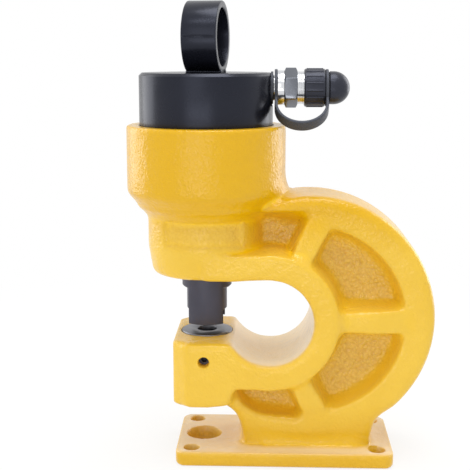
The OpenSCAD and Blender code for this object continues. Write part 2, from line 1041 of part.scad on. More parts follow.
module die_set_screw() {
  screw_tip = die_r + seat_gap;
  color("black")
    translate([punch_x, -screw_tip, set_screw_z])
      rotate([90, 0, 0])
        difference() {
          cylinder(h = set_screw_l, d = set_screw_d);
          translate([0, 0, set_screw_l - set_key_h])
            cylinder(h = set_key_h + over, d = set_key / cos(30), $fn = 6);
        }
}

// Outline of the coupler body, without its hex
module coupler_profile() {
  thread_r = thread_d / 2;
  nipple_r = nipple_d / 2;
  polygon([
    [0, spot_x - stub_l],
    [stub_r, spot_x - stub_l],
    [stub_r, neck_x],
    [neck_r, neck_x],
    [neck_r, flange_x],
    [flange_d / 2, flange_x],
    [flange_d / 2, hex_x],
    [thread_r, hex_x],
    [thread_r, nipple_x - coupler_bevel],
    [thread_r - coupler_bevel, nipple_x],
    [nipple_r, nipple_x],
    [nipple_r, tip_x - coupler_bevel],
    [nipple_r - coupler_bevel, tip_x],
    [0, tip_x]
  ]);
}

module coupler_body() {
  hex_r = hex_width / 2 / cos(30);
  hex_end_r = hex_width / 2 - blend_set;
  color("gainsboro")
    difference() {
      union() {
        turned_x()
          coupler_profile();
        intersection() {
          rod_x(hex_x, hex_l, hex_r, 6);
          turned_x()
            polygon([
              [0, hex_x],
              [hex_end_r, hex_x],
              [hex_r + over, hex_x + hex_bevel],
              [hex_r + over, thread_x - hex_bevel],
              [hex_end_r, thread_x],
              [0, thread_x]
            ]);
        }
      }
      turned_x() {
        band(0, inlet_r, spot_x - stub_l - over, hex_x - spot_x + stub_l + 2 * over);
        band(0, cavity_r, hex_x, cavity_end - hex_x);
        band(0, seat_r, hex_x, tip_x - hex_x + over);
      }
    }
}

module coupler_seal() {
  color("black")
    turned_x()
      band(stub_r + seat_gap, seal_r, spot_x, seal_t);
}

module poppet_carrier() {
  color("silver")
    difference() {
      turned_x()
        band(poppet_stem_r + run_gap, cavity_r - seat_gap, carrier_x - carrier_l, carrier_l);
      for (i = [0 : carrier_holes - 1])
        translate([carrier_x - carrier_l - over, 0, coupler_z])
          rotate([i * 360 / carrier_holes, 0, 0])
            translate([0, 0, carrier_ring_r])
              rotate([0, 90, 0])
                cylinder(h = carrier_l + 2 * over, r = carrier_hole_r);
    }
}

module poppet_spring() {
  spring_l = poppet_head_x - carrier_x - 2 * loose_gap;
  color("gray")
    translate([carrier_x + loose_gap, 0, coupler_z])
      rotate([0, 90, 0])
        coil(poppet_spring_r, poppet_wire, spring_l, poppet_turns);
}

module coupler_poppet() {
  color("gold")
    turned_x() {
      band(0, poppet_stem_r, carrier_x - carrier_l, poppet_head_x - carrier_x + carrier_l);
      band(0, poppet_head_r, poppet_head_x, poppet_head_l);
      band(0, seat_r - run_gap, poppet_head_x, tip_x - poppet_head_x);
    }
}

module tether_anchor() {
  color("black")
    turned_x()
      band(neck_r + seat_gap, tether_r, anchor_x, tether_t);
}

// The strap leaves both rings in their own planes and bows between them
module tether_strap() {
  bow_x = (anchor_x + cap_ring_x + tether_t) / 2;
  bow_at = -strap_start - tether_drop;
  color("black")
    difference() {
      translate([bow_x, 0, coupler_z])
        rotate([90 - tether_swing, 0, 0])
          linear_extrude(tether_w, center = true)
            difference() {
              union() {
                translate([0, bow_at])
                  circle(bow_out_r);
                translate([-bow_out_r, bow_at])
                  square([2 * bow_out_r, -bow_at]);
              }
              translate([0, bow_at])
                circle(bow_in_r);
              translate([-bow_in_r, bow_at])
                square([2 * bow_in_r, over - bow_at]);
            }
      rod_x(anchor_x - over, cap_ring_x - anchor_x + tether_t + 2 * over, tether_r);
    }
}

module tether_cap_ring() {
  color("black")
    turned_x()
      band(groove_r + loose_gap, tether_r, cap_ring_x, tether_t);
}

module dust_cap() {
  color("black")
    difference() {
      union() {
        turned_x() {
          polygon([
            [0, cap_x],
            [cap_r - cap_bevel, cap_x],
            [cap_r, cap_x + cap_bevel],
            [cap_r, cap_end - cap_bevel],
            [cap_r - cap_bevel, cap_end],
            [groove_r, cap_end],
            [groove_r, dome_x],
            [dome_r - dome_bevel, dome_x],
            [dome_r, dome_x + dome_bevel],
            [dome_r, dome_mid],
            [0, dome_mid + dome_r / 2]
          ]);
        }
        intersection() {
          translate([dome_mid, 0, coupler_z])
            sphere(dome_r);
          rod_x(dome_mid, dome_d, dome_d);
        }
        for (i = [0 : rib_n - 1])
          translate([cap_x + rib_inset, 0, coupler_z])
            rotate([(i + rib_turn_share) * 360 / rib_n, 0, 0])
              translate([0, 0, cap_r - rib_sink])
                rotate([0, 90, 0])
                  cylinder(h = cap_l - 2 * rib_inset, r = rib_r, $fn = 24);
      }
      turned_x()
        band(0, cap_bore_r, cap_x - over, cap_l - cap_floor + over);
    }
}

frame();
frame_base();
frame_jaw();
frame_head();
cylinder_barrel();
barrel_seal();
lifting_ring();
ring_weld();
guide_bush();
ram_wiper();
spring_seat();
return_spring();
piston();
piston_seal();
piston_backup_ring();
piston_wear_ring();
piston_screw();
ram();
punch_nut();
punch();
stripper();
die();
die_set_screw();
coupler_body();
coupler_seal();
poppet_carrier();
poppet_spring();
coupler_poppet();
tether_anchor();
tether_strap();
tether_cap_ring();
dust_cap();
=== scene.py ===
import json
import math

import bmesh
import bpy
import numpy as np
from mathutils import Matrix, Vector


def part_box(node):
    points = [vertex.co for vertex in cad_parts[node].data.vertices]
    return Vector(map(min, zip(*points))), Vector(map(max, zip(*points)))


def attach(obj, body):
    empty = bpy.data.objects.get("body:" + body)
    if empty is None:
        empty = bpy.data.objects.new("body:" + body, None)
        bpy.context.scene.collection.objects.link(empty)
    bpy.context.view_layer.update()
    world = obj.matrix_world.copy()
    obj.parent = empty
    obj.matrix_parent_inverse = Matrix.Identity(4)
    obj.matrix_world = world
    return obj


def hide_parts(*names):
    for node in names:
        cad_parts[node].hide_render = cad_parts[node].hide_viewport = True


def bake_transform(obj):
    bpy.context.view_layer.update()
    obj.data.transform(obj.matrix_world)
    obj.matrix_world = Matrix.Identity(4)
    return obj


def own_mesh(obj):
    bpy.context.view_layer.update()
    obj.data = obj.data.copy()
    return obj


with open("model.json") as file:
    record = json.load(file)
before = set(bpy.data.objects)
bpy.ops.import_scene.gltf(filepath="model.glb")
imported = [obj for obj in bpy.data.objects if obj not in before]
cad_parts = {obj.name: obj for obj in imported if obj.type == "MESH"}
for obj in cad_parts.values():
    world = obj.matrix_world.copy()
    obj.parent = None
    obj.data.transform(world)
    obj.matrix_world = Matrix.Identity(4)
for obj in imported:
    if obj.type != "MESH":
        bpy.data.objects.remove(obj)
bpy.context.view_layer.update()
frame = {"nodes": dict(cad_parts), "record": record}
nodes = frame["nodes"]
scene = bpy.context.scene
mm = 0.001
punchX = -70.5  # punch axis, mm
couplerZ = 330.0  # coupler axis, mm
roundSides = 96
sharpFrom = 35  # degrees between the faces of an edge that is drawn sharp
sameSpot, fineSpot = 1e-6, 1e-7  # metres between points that are one
print("frame loaded:", len(nodes), "nodes")


# Small helpers


def srgb(hexText):  # sRGB hex to linear colour
    parts = [int(hexText[i:i + 2], 16) / 255 for i in (1, 3, 5)]
    return (*[p / 12.92 if p <= 0.04045 else ((p + 0.055) / 1.055) ** 2.4 for p in parts], 1.0)


def addNode(tree, kind, settings={}, values={}, links={}):
    made = tree.nodes.new(kind)
    for name, value in settings.items():
        setattr(made, name, value)
    for name, value in values.items():
        made.inputs[name].default_value = value
    for name, source in links.items():
        tree.links.new(source, made.inputs[name])
    return made


def at(x, y, z, turn=Matrix()):  # a place in millimetres
    return Matrix.Scale(mm, 4) @ Matrix.Translation((x, y, z)) @ turn


alongX = Matrix.Rotation(math.radians(90), 4, "Y")
towardsFront = Matrix.Rotation(math.radians(90), 4, "X")


def meshObject(name, bm):
    mesh = bpy.data.meshes.new(name)
    bm.to_mesh(mesh)
    bm.free()
    made = bpy.data.objects.new(name, mesh)
    scene.collection.objects.link(made)
    return made


def lathe(name, profile, place, sides=roundSides):  # (radius, height) pairs turned round the local Z
    bm = bmesh.new()
    rings = []
    for radius, height in profile:
        count = sides if radius > 0 else 1
        angles = [2 * math.pi * k / sides for k in range(count)]
        rings.append([bm.verts.new((radius * math.cos(a), radius * math.sin(a), height)) for a in angles])
    closed = profile[0][0] > 0
    pairs = list(zip(rings, rings[1:])) + ([(rings[-1], rings[0])] if closed else [])
    for low, high in pairs:
        for k in range(sides):
            corners = []
            for ring, step in ((low, k), (low, k + 1), (high, k + 1), (high, k)):
                vert = ring[step % len(ring)]
                if vert not in corners:
                    corners.append(vert)
            bm.faces.new(corners)
    bmesh.ops.recalc_face_normals(bm, faces=bm.faces)
    bm.transform(place)
    return meshObject(name, bm)


def boreTool(wall, place, sides=roundSides):  # (radius, height) along a bore's wall, closed at the axis
    return lathe("tool", [(0, wall[0][1]), *wall, (0, wall[-1][1])], place, sides)


def rod(radius, low, high, place):
    return boreTool(((radius, low), (radius, high)), place)


def keepResult(obj):  # the evaluated mesh becomes the object's own
    graph = bpy.context.evaluated_depsgraph_get()
    mesh = bpy.data.meshes.new_from_object(obj.evaluated_get(graph))
    old = obj.data
    obj.modifiers.clear()
    obj.data = mesh
    bpy.data.meshes.remove(old)
    return obj


def combine(obj, tool, operation):
    boolean = obj.modifiers.new("combine", "BOOLEAN")
    boolean.operation = operation
    boolean.solver = "MANIFOLD"
    boolean.object = tool
    keepResult(obj)
    bpy.data.objects.remove(tool)
    return obj


def mergedCopy(nodeName, name):
    bm = bmesh.new()
    bm.from_mesh(nodes[nodeName].data)
    bmesh.ops.remove_doubles(bm, verts=bm.verts, dist=sameSpot)
    return meshObject(name, bm)


def shade(obj, material, angle=sharpFrom):
    obj.data.materials.clear()
    obj.data.materials.append(material)
    obj.data.polygons.foreach_set("use_smooth", [True] * len(obj.data.polygons))
    obj.data.set_sharp_from_angle(angle=math.radians(angle))
    return obj


def finishPiece(obj, body, slotName, *replaced):
    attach(obj, body)
    if replaced:
        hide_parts(*replaced)
    print("piece:", obj.name, len(obj.data.polygons), "faces")
    return obj


# Node helpers: a tone is a hex text or a socket, a term is a float or a socket

mixSocket = {"share": 0, "low": 6, "high": 7, "out": 2}
bandUnit = 0.314  # metres between the bands of a wave texture at a scale of 1


def newMaterial(name, roughness, metallic=0.0):
    material = bpy.data.materials.new(name)
    material.use_nodes = True
    tree = material.node_tree
    shader = tree.nodes["Principled BSDF"]
    shader.inputs["Roughness"].default_value = roughness
    shader.inputs["Metallic"].default_value = metallic
    place = addNode(tree, "ShaderNodeTexCoord").outputs["Object"]
    return material, tree, shader, place


def mixTones(tree, share, low, high):
    values, links = {}, {mixSocket["share"]: share}
    for end, tone in (("low", low), ("high", high)):
        if isinstance(tone, str):
            values[mixSocket[end]] = srgb(tone)
        else:
            links[mixSocket[end]] = tone
    made = addNode(tree, "ShaderNodeMix", {"data_type": "RGBA"}, values, links)
    return made.outputs[mixSocket["out"]]


def maths(tree, operation, *terms, clamp=False):
    values = {k: term for k, term in enumerate(terms) if isinstance(term, float)}
    links = {k: term for k, term in enumerate(terms) if k not in values}
    made = addNode(tree, "ShaderNodeMath", {"operation": operation, "use_clamp": clamp}, values, links)
    return made.outputs[0]


def mapRange(tree, value, toLow, toHigh, fromLow=0.0, fromHigh=1.0):
    made = addNode(tree, "ShaderNodeMapRange", links={"Value": value}, values={
        "From Min": fromLow, "From Max": fromHigh, "To Min": toLow, "To Max": toHigh})
    return made.outputs[0]


def noise(tree, place, scale, detail):
    made = addNode(tree, "ShaderNodeTexNoise", values={"Scale": scale, "Detail": detail},
                   links={"Vector": place})
    return made.outputs["Fac"]


def toolLines(tree, place, axis, pitch, distortion, detail):  # pitch in millimetres
    made = addNode(tree, "ShaderNodeTexWave", {"wave_type": "BANDS", "bands_direction": axis},
                   values={"Scale": bandUnit / (pitch * mm), "Distortion": distortion, "Detail": detail},
                   links={"Vector": place})
    return made.outputs["Fac"]


def attribute(tree, name):
    return addNode(tree, "ShaderNodeAttribute", {"attribute_name": name}).outputs["Fac"]


def setBump(tree, shader, height, strength, depth):  # depth in millimetres
    bump = addNode(tree, "ShaderNodeBump", values={"Strength": strength, "Distance": depth * mm},
                   links={"Height": height})
    tree.links.new(bump.outputs[0], shader.inputs["Normal"])
    return bump.outputs[0]


def seenRays(tree):  # 1 where the camera sees it, straight or by a mirror or glass
    path = addNode(tree, "ShaderNodeLightPath").outputs
    seen = maths(tree, "MAXIMUM", path["Is Camera Ray"], path["Is Glossy Ray"])
    return maths(tree, "MAXIMUM", seen, path["Is Transmission Ray"])


# Finishes

enamel = {  # sizes in millimetres, the head's and foot's painted shade bands in metres up, heights in parts of the bump's depth
    "face": "#EFC644", "deep": "#DDAB00", "pocket": "#EEC858", "pebbleShade": "#D3A43A",
    "creaseBounce": "#F5C60E", "paintedGlare": "#F4E8D2",
    "patchScale": 22.0, "patchDetail": 2.0, "patchShare": 0.5,
    "headShadeFrom": 0.190, "headShadeTo": 0.228, "headShadeShare": 0.8, "footFrom": 0.06, "footTo": 0.02, "footShadeShare": 0.5,
    "lump": 8.0, "lumpDetail": 0.0, "lumpHigh": 0.3, "peel": 2.4, "peelDetail": 1.0, "peelHigh": 0.28,
    "pebble": 2.5, "pebbleBlend": 0.5, "pebbleHigh": -0.7, "bump": 1.0, "bumpDepth": 1.6,
    "rough": 0.34, "roughSpread": 0.1, "specular": 0.2, "coat": 0.48, "coatRough": 0.1,
}


# Yellow enamel on sand-cast iron: a wet gloss coat over fine peel and pebbled ochre in the pockets, with
# painted shade on the head, the foot and between the pebbles, painted bounce light in creases, and painted
# glare on the base top and in the throat
def yellowEnamel():
    material, tree, shader, place = newMaterial("yellowEnamelOnCastIron", enamel["rough"])
    patch = noise(tree, place, enamel["patchScale"], enamel["patchDetail"])
    lump = noise(tree, place, 1 / (enamel["lump"] * mm), enamel["lumpDetail"])
    peel = noise(tree, place, 1 / (enamel["peel"] * mm), enamel["peelDetail"])
    pebble = addNode(tree, "ShaderNodeTexVoronoi", {"feature": "SMOOTH_F1"}, links={"Vector": place}, values={
        "Scale": 1 / (enamel["pebble"] * mm), "Smoothness": enamel["pebbleBlend"]}).outputs["Distance"]
    pocket, creaseBounce, paintedGlare = [attribute(tree, name) for name in ("pocket", "creaseBounce", "paintedGlare")]
    # painted shade: the head and the foot, darker towards the bottom, are mixed towards the deeper tone
    up = addNode(tree, "ShaderNodeSeparateXYZ", links={0: place}).outputs["Z"]
    head = mapRange(tree, up, 0.0, enamel["headShadeShare"], enamel["headShadeFrom"], enamel["headShadeTo"])
    foot = mapRange(tree, up, 0.0, enamel["footShadeShare"], enamel["footFrom"], enamel["footTo"])
    # painted shade of the head and the foot together
    thick = maths(tree, "ADD", head, foot)
    depth = maths(tree, "MULTIPLY_ADD", patch, enamel["patchShare"], thick, clamp=True)
    base = mixTones(tree, depth, enamel["face"], enamel["deep"])
    # painted bounce light: creases turn a deeper, saturated yellow
    withCreaseBounce = mixTones(tree, creaseBounce, base, enamel["creaseBounce"])
    # painted shade in the crevices between the pebbles
    floorTone = mixTones(tree, pebble, enamel["pocket"], enamel["pebbleShade"])
    colour = mixTones(tree, pocket, withCreaseBounce, floorTone)
    # painted glare: pale cream on the base top and in the throat
    withGlare = mixTones(tree, paintedGlare, colour, enamel["paintedGlare"])
    tree.links.new(withGlare, shader.inputs["Base Color"])
    rough = mapRange(tree, peel, enamel["rough"] - enamel["roughSpread"],
                     enamel["rough"] + enamel["roughSpread"])
    tree.links.new(rough, shader.inputs["Roughness"])
    # heights: lumps, then peel, then pebbles sunk between their tops
    lumps = maths(tree, "MULTIPLY", lump, enamel["lumpHigh"])
    peels = maths(tree, "MULTIPLY_ADD", peel, enamel["peelHigh"], lumps)
    sunk = maths(tree, "MULTIPLY", pebble, pocket)
    height = maths(tree, "MULTIPLY_ADD", sunk, enamel["pebbleHigh"], peels)
    bump = setBump(tree, shader, height, enamel["bump"], enamel["bumpDepth"])
    tree.links.new(bump, shader.inputs["Coat Normal"])
    shader.inputs["Specular IOR Level"].default_value = enamel["specular"]
    shader.inputs["Coat Weight"].default_value = enamel["coat"]
    shader.inputs["Coat Roughness"].default_value = enamel["coatRough"]
    return material


paint = {"cloudScale": 40.0, "cloudDetail": 3.0, "smoother": 0.06, "rougher": 0.08, "peelDetail": 1.0,
         "bump": 0.4, "specular": 0.36, "tint": "#DDE4FF"}


# Satin black paint, and moulded rubber and plastic: even, with a faint orange peel
def blackPaint(name, tone, paleTone, rough, peelSize, peelDepth):
    material, tree, shader, place = newMaterial(name, rough)
    cloud = noise(tree, place, paint["cloudScale"], paint["cloudDetail"])
    tree.links.new(mixTones(tree, cloud, tone, paleTone), shader.inputs["Base Color"])
    spread = mapRange(tree, cloud, rough - paint["smoother"], rough + paint["rougher"])
    tree.links.new(spread, shader.inputs["Roughness"])
    peel = noise(tree, place, 1 / (peelSize * mm), paint["peelDetail"])
    setBump(tree, shader, peel, paint["bump"], peelDepth)
    shader.inputs["Specular IOR Level"].default_value = paint["specular"]
    shader.inputs["Specular Tint"].default_value = srgb(paint["tint"])
    return material


turned = {"cloudScale": 60.0, "cloudDetail": 3.0, "distortion": 0.6, "lineDetail": 1.0, "lineShare": 0.25,
          "smoother": 0.08, "leastRough": 0.03, "rougher": 0.1, "bump": 0.15, "bumpDepth": 0.05}


# Turned metal: fine tool lines round the axis, drawn coarser than real ones so that they show
def turnedMetal(name, tone, paleTone, rough, metallic, linePitch, axis):
    material, tree, shader, place = newMaterial(name, rough, metallic)
    cloud = noise(tree, place, turned["cloudScale"], turned["cloudDetail"])
    lines = toolLines(tree, place, axis, linePitch, turned["distortion"], turned["lineDetail"])
    blendIn = maths(tree, "MULTIPLY_ADD", lines, turned["lineShare"], cloud)
    tree.links.new(mixTones(tree, blendIn, tone, paleTone), shader.inputs["Base Color"])
    spread = mapRange(tree, blendIn, max(rough - turned["smoother"], turned["leastRough"]),
                      rough + turned["rougher"])
    tree.links.new(spread, shader.inputs["Roughness"])
    setBump(tree, shader, lines, turned["bump"], turned["bumpDepth"])
    return material


plating = {  # hex and line pitch in millimetres
    "bright": "#C6C8CC", "pale": "#E2E3E5", "flat": "#6F7279", "hexFrom": -2.3, "hexTo": 9.2,
    "rough": 0.16, "smoother": 0.06, "rougher": 0.1, "cloudScale": 90.0, "cloudDetail": 3.0,
    "linePitch": 0.8, "distortion": 0.4, "lineDetail": 2.0, "bump": 0.12, "bumpDepth": 0.05,
}


# Bright zinc plating on turned steel: near-white turned bands, and a darker painted reflection on the milled
# hex flats
def zincPlating():
    material, tree, shader, place = newMaterial("brightZincPlating", plating["rough"], 1.0)
    cloud = noise(tree, place, plating["cloudScale"], plating["cloudDetail"])
    bands = mixTones(tree, cloud, plating["bright"], plating["pale"])
    along = addNode(tree, "ShaderNodeSeparateXYZ", links={0: place}).outputs["X"]
    middle = (plating["hexFrom"] + plating["hexTo"]) / 2 * mm
    half = (plating["hexTo"] - plating["hexFrom"]) / 2 * mm
    # painted reflection: the hex flats get the darker flat tone
    hexReflection = maths(tree, "COMPARE", along, middle, half)
    tree.links.new(mixTones(tree, hexReflection, bands, plating["flat"]), shader.inputs["Base Color"])
    spread = mapRange(tree, cloud, plating["rough"] - plating["smoother"],
                      plating["rough"] + plating["rougher"])
    tree.links.new(spread, shader.inputs["Roughness"])
    lines = toolLines(tree, place, "X", plating["linePitch"], plating["distortion"], plating["lineDetail"])
    setBump(tree, shader, lines, plating["bump"], plating["bumpDepth"])
    return material


# paint: name, tone, paler tone, roughness, peel's size and depth in mm
# metal: name, tone, paler tone, roughness, metallic share, line pitch in mm, direction of the lines
finishes = {
    "yellow_enamel": yellowEnamel(),
    "black_enamel": blackPaint("satinBlackPaint", "#101117", "#181920", 0.26, 1.4, 0.06),
    "black_rubber": blackPaint("mouldedBlackRubber", "#3E4045", "#4A4C51", 0.5, 0.8, 0.05),
    "cap_plastic": blackPaint("mouldedBlackPlastic", "#25262C", "#2E2F35", 0.28, 0.9, 0.04),
    "seal_plastic": blackPaint("filledBearingPlastic", "#B79B6C", "#C7AE82", 0.5, 0.8, 0.04),
    "blackened_steel": turnedMetal("oilBlackenedSteel", "#3E3E49", "#4E4D5A", 0.42, 0.55, 0.9, "Z"),
    "tool_steel": turnedMetal("groundToolSteel", "#66666B", "#7A7A7F", 0.3, 1.0, 0.7, "Z"),
    "bright_steel": turnedMetal("turnedBrightSteel", "#BDBDBF", "#CFCFD0", 0.22, 1.0, 0.7, "Z"),
    "spring_steel": turnedMetal("drawnSpringWire", "#6C6C72", "#7E7E85", 0.35, 1.0, 0.8, "DIAGONAL"),
    "coupler_chrome": zincPlating(),
    "bronze": turnedMetal("bearingBronze", "#A9803F", "#BF9550", 0.3, 1.0, 0.8, "Z"),
}
print("finishes:", len(finishes))

# every CAD node that stays in sight gets the finish of its slot
for part in frame["record"]["subparts"]:
    shade(nodes[part["node"]], finishes[part["material_slot"]])


# Casting

casting = {  # millimetres, degrees, counts and shares
    "voxel": 1.85, "sharpFrom": 50, "relaxStep": 0.5, "edgePasses": 4,
    "rimX": 21.5, "throatX": -13.5, "throatZ": 130.5, "hubR": 60.0, "throatR": 38.0,
    "rimHalf": 37.0, "webHalf": 15.0, "baseTop": 13.0,
    # the spokes start below the hub's edge
    "spokeAngles": (-64.0, 0.0, 64.0), "spokeHalf": 11.0,
    "spokeDrop": 7.0, "spokeStep": 3.5, "spokeRun": 30.0,
    # the hub's lower edge runs straight into the jaw
    "bridgeFrom": -52.0, "bridgeHigh": 17.0, "bridgeHalf": 51.3,
    # hub and jaw edges are well rounded
    "roundFrom": 43.0, "roundLow": 20.0, "roundHigh": 170.0, "roundPasses": 7,
    # the jaw fades into the rim
    "jawEnd": (-45.0, 46.0, 52.0), "jawEndR": 22.0, "jawEndPasses": 60,
    # the nose runs into the arm underneath
    "stepX": -26.0, "stepRun": 18.0, "stepZ": 167.0, "stepRise": 8.0, "stepPasses": 40,
    # the lip above the arm stays crisper
    "lipLow": 180.0, "lipHigh": 236.0, "lipFrom": -62.0, "lipTo": 12.0, "lipShare": 0.15,
    # cast fillets, none on the turned head
    "filletPasses": 110, "filletFrom": -52.0, "filletOver": 14.0, "noseZ": 160.0,
    "fillRate": 0.4, "fillLeast": 0.006, "normalsEvery": 8,
    # a wide fillet from the rim to the cup
    "widePasses": 320, "wideShare": 2.0, "neckX": -10.0, "neckLow": 212.0, "neckHigh": 265.0,
    # the rim sweeps into a full foot
    "footR": 100.0, "footArc": (228.5, 308.5), "footSteps": 24, "footFrom": -35.0, "footTo": 75.0,
    "footBase": 12.5, "footHalf": 31.0, "footTopHalf": 36.0,
    "footLow": 17.0, "footHigh": 52.0, "footFade": 7.0, "footPasses": 40,
    # the bare sunk panel on the front of the nose
    "panelLow": 197.0, "panelHigh": 218.0, "panelHalf": 33.0, "panelOut": 45.0,
    "panelDepth": 1.2, "panelEdge": 1.8, "panelTone": 0.4,
    # where the coat is pebbled, where creases get painted bounce light in a deeper yellow, and where painted
    # pale glare lies on the base top and in the throat
    "pocketR": 96.0, "pocketLow": 25.0, "pocketFade": 8.0, "pocketPasses": 3,
    "flatGain": 1.6, "flatFrom": 0.3,
    "hollowPasses": 8, "hollowDepth": 0.7,
    "glareBase": 0.58, "baseOver": 1.5, "facesUp": 0.8,
    "glareThroat": 0.6, "throatOver": 1.0, "facesFront": 0.3, "glarePasses": 2,
    # radius, low and high end of the plugs that close the machined bores
    "cupPlug": (61, 226, 297.7), "nosePlug": (25, 166.3, 230), "diePlug": (25, 54.3, 111.7),
    "screwPlug": (6.5, 20, 51.2), "slugPlug": (17.5, 0.3, 12.7), "boltPlug": (8, 0.3, 12.7),
    # radius and height along the wall of each bore, some with a chamfer at the mouth
    "cup": ((58.53, 228), (58.53, 296.4), (59.9, 298.2), (59.9, 310)),
    "bush": ((23.03, 186), (23.03, 229)),
    "ram": ((18.3, 160), (18.3, 190)),
    "stripper": ((23.2, 160), (23.2, 165.8), (22.23, 167), (22.23, 182)),
    "die": ((23.03, 88), (23.03, 111), (24, 112.2), (24, 120)),
    "slug": ((13, 50), (13, 90)),
    "screw": ((4.78, 12), (4.78, 50.6), (5.6, 51.7), (5.6, 56)),
    "screwZ": 96, "slugBack": 3, "slugR": 15.75, "boltX": 82.5, "boltY": 36, "boltR": 6.75,
    "plateHeights": (-5, 12.1, 13.2, 20), "plateChamfer": 1.1,
    "cupSides": 128, "screwSides": 48, "plateSides": 64,
}


def placesOf(mesh):  # in millimetres
    place = np.zeros(len(mesh.vertices) * 3)
    mesh.vertices.foreach_get("co", place)
    return place.reshape(-1, 3) / mm


def setPlaces(mesh, place):
    mesh.vertices.foreach_set("co", (place * mm).ravel())
    mesh.update()


def relaxer(mesh, share):  # a function that moves the points with a share to the middle of their neighbours
    count = len(mesh.vertices)
    edges = np.zeros(len(mesh.edges) * 2, dtype=np.int64)
    mesh.edges.foreach_get("vertices", edges)
    edges = edges.reshape(-1, 2)
    goal, source = np.concatenate((edges, edges[:, ::-1])).T
    active = share[goal] > 0
    goal, source = goal[active], source[active]
    degree = np.maximum(np.bincount(goal, minlength=count), 1)

    def shift(points):
        sums = [np.bincount(goal, points[source, k], count) for k in range(points.shape[1])]
        return share[:, None] * (np.stack(sums, axis=1) / degree[:, None] - points)

    return shift


def normalsOf(mesh):
    normal = np.zeros(len(mesh.vertices) * 3)
    mesh.vertex_normals.foreach_get("vector", normal)
    return normal.reshape(-1, 3)


def panelShare(place):  # 1 inside the panel on the nose, 0 outside
    fromSide = casting["panelHalf"] - np.abs(place[:, 0] - punchX)
    fromEnd = np.minimum(place[:, 2] - casting["panelLow"], casting["panelHigh"] - place[:, 2])
    share = np.clip(np.minimum(fromSide, fromEnd) / casting["panelEdge"] + 0.5, 0, 1)
    outer = np.hypot(place[:, 0] - punchX, place[:, 1]) > casting["panelOut"]
    return share * (outer & (place[:, 1] < 0))


def spokeDrops(x, y, z):  # how far the points at each spoke's root sink
    fromHub = np.hypot(x - casting["throatX"], z - casting["throatZ"]) - casting["hubR"]
    onSpoke = np.zeros(len(x), dtype=bool)
    for angle in np.radians(casting["spokeAngles"]):
        along = np.cos(angle) * (x - casting["throatX"]) + np.sin(angle) * (z - casting["throatZ"])
        aside = np.cos(angle) * (z - casting["throatZ"]) - np.sin(angle) * (x - casting["throatX"])
        onSpoke |= (along > 0) & (np.abs(aside) < casting["spokeHalf"])
    onSpoke &= (np.abs(y) > casting["rimHalf"]) & (fromHub > 0)
    step = np.clip(fromHub / casting["spokeStep"], 0, 1) * np.clip(1 - fromHub / casting["spokeRun"], 0, 1)
    return np.sign(y) * onSpoke * casting["spokeDrop"] * step


def roundings(x, y, z, crisp):  # passes and share of each zone whose edges are rounded
    proud = np.clip(np.abs(y) - casting["roundFrom"], 0, 1)
    proud = proud * (z > casting["roundLow"]) * (z < casting["roundHigh"])
    away = np.linalg.norm(np.stack((x, np.abs(y), z), axis=1) - casting["jawEnd"], axis=1)
    jawEnd = np.clip(1 - away / casting["jawEndR"], 0, 1)
    foot = np.clip(np.minimum(z - casting["footLow"], casting["footHigh"] - z) / casting["footFade"], 0, 1)
    foot *= x > casting["filletFrom"]
    underNose = np.clip(1 - np.abs(x - casting["stepX"]) / casting["stepRun"], 0, 1)
    underNose *= np.clip(1 - np.abs(z - casting["stepZ"]) / casting["stepRise"], 0, 1)
    return ((casting["edgePasses"], np.sqrt(crisp)), (casting["roundPasses"], proud),
            (casting["jawEndPasses"], jawEnd), (casting["footPasses"], foot),
            (casting["stepPasses"], underNose))


def softenCasting(mesh):
    place = placesOf(mesh)
    x, y, z = place.copy().T
    place[:, 1] -= spokeDrops(x, y, z)
    lip = (z > casting["lipLow"]) & (z < casting["lipHigh"])
    lip &= (x < casting["lipTo"]) & (x > casting["lipFrom"])
    crisp = np.where(lip, casting["lipShare"], 1)
    for passes, share in roundings(x, y, z, crisp):
        shift = relaxer(mesh, share)
        for turn in range(passes):
            place = place + casting["relaxStep"] * shift(place)
    # cast fillets: hollows fill up, outer edges and the turned head stay
    narrow = np.clip((x - casting["filletFrom"]) / casting["filletOver"], 0, 1)
    narrow[z < casting["noseZ"]] = 1
    narrow *= crisp
    wide = (x > casting["neckX"]) & (z > casting["neckLow"]) & (z < casting["neckHigh"])
    for passes, share in ((casting["filletPasses"], narrow),
                          (casting["widePasses"], casting["wideShare"] * wide)):
        shift = relaxer(mesh, share)
        for turn in range(passes):
            if turn % casting["normalsEvery"] == 0:
                setPlaces(mesh, place)
                normal = normalsOf(mesh)
            rise = np.sum(shift(place) * normal, axis=1) * casting["fillRate"] - casting["fillLeast"]
            place = place + normal * np.clip(rise, 0, None)[:, None]
    # the bare sunk panel on the front of the nose
    out = np.maximum(np.hypot(place[:, 0] - punchX, place[:, 1]), 1)
    sunk = casting["panelDepth"] * panelShare(place) / out
    place[:, 0] -= sunk * (place[:, 0] - punchX)
    place[:, 1] -= sunk * place[:, 1]
    setPlaces(mesh, place)


